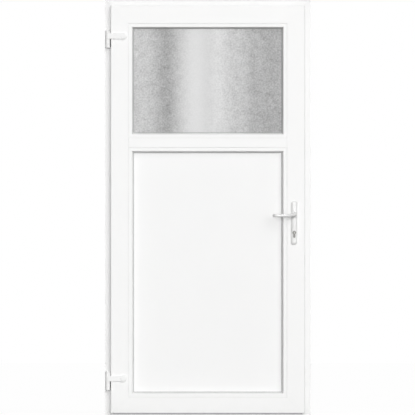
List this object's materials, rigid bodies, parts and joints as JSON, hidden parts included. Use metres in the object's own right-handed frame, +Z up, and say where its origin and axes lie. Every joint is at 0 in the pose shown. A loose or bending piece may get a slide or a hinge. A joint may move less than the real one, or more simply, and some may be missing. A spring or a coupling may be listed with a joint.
{
  "type": "side door in its frame",
  "caption": "White plastic side door in its frame: leaf with a textured glass pane above a plain panel, lever handle on a long plate, surface hinges and a low metal threshold.",
  "frame": {"origin": "on the wall face of the hinge jamb, at the foot and at the middle of the frame's depth", "axes": "+X from the hinge jamb to the lock jamb, +Y from the room to the outside, +Z up"},
  "size_m": [0.98, 0.178, 1.98],
  "materials": {
    "white_profile": "smooth extruded white plastic, satin gloss, welded at the corners",
    "white_panel": "smooth white plastic sheet",
    "grey_seal": "matt grey rubber",
    "textured_glass": "cast glass with a fine pebbled face",
    "clear_glass": "clear float glass",
    "spacer_metal": "mill aluminium",
    "threshold_metal": "satin anodised",
    "break_plastic": "matt black plastic",
    "coated_hinge": "white powder coat",
    "coated_handle": "white powder coat, satin",
    "lock_steel": "zinc-plated, brushed",
    "cylinder_metal": "satin nickel plate"
  },
  "bodies": {
    "frame": {"hinge_jamb": "white_profile", "lock_jamb": "white_profile", "frame_head": "white_profile", "frame_stop_seal": "grey_seal", "strike_plate": "lock_steel", "threshold_room_rail": "threshold_metal", "threshold_outer_rail": "threshold_metal", "threshold_thermal_break": "break_plastic", "lower_hinge_frame_side": "coated_hinge", "lower_hinge_pin": "coated_hinge", "upper_hinge_frame_side": "coated_hinge", "upper_hinge_pin": "coated_hinge"},
    "leaf": {"leaf_hinge_stile": "white_profile", "leaf_lock_stile": "white_profile", "leaf_top_rail": "white_profile", "leaf_bottom_rail": "white_profile", "leaf_transom": "white_profile", "glass_bead_top": "white_profile", "glass_bead_bottom": "white_profile", "glass_bead_hinge_side": "white_profile", "glass_bead_lock_side": "white_profile", "glass_seal_room": "grey_seal", "glass_seal_outer": "grey_seal", "panel_bead_top": "white_profile", "panel_bead_bottom": "white_profile", "panel_bead_hinge_side": "white_profile", "panel_bead_lock_side": "white_profile", "panel_seal_room": "grey_seal", "panel_seal_outer": "grey_seal", "glass_pane_room": "textured_glass", "glass_pane_outer": "clear_glass", "glass_spacer": "spacer_metal", "lower_panel": "white_panel", "lip_seal": "grey_seal", "foot_sweep": "grey_seal", "weather_bar": "white_profile", "lock_faceplate": "lock_steel", "latch_bolt": "lock_steel", "dead_bolt": "lock_steel", "lock_cylinder": "cylinder_metal", "room_handle_plate": "coated_handle", "outer_handle_plate": "coated_handle", "lower_hinge_leaf_side": "coated_hinge", "upper_hinge_leaf_side": "coated_hinge", "lower_hinge_screw_cover": "coated_hinge", "upper_hinge_screw_cover": "coated_hinge"},
    "handle": {"room_lever": "coated_handle", "outer_lever": "coated_handle", "lever_spindle": "lock_steel"}
  },
  "joints": [
    {"name": "door_swing", "type": "hinge", "parent": "frame", "child": "leaf", "pos_m": [0.0125, -0.053, 0], "axis": [0, 0, -1], "range_deg": [0, 110]},
    {"name": "handle_turn", "type": "hinge", "parent": "leaf", "child": "handle", "pos_m": [0.903, -0.066, 0.955], "axis": [0, -1, 0], "range_deg": [0, 40], "stiffness_Nm_per_rad": 1.5, "springref_deg": -22.92}
  ]
}
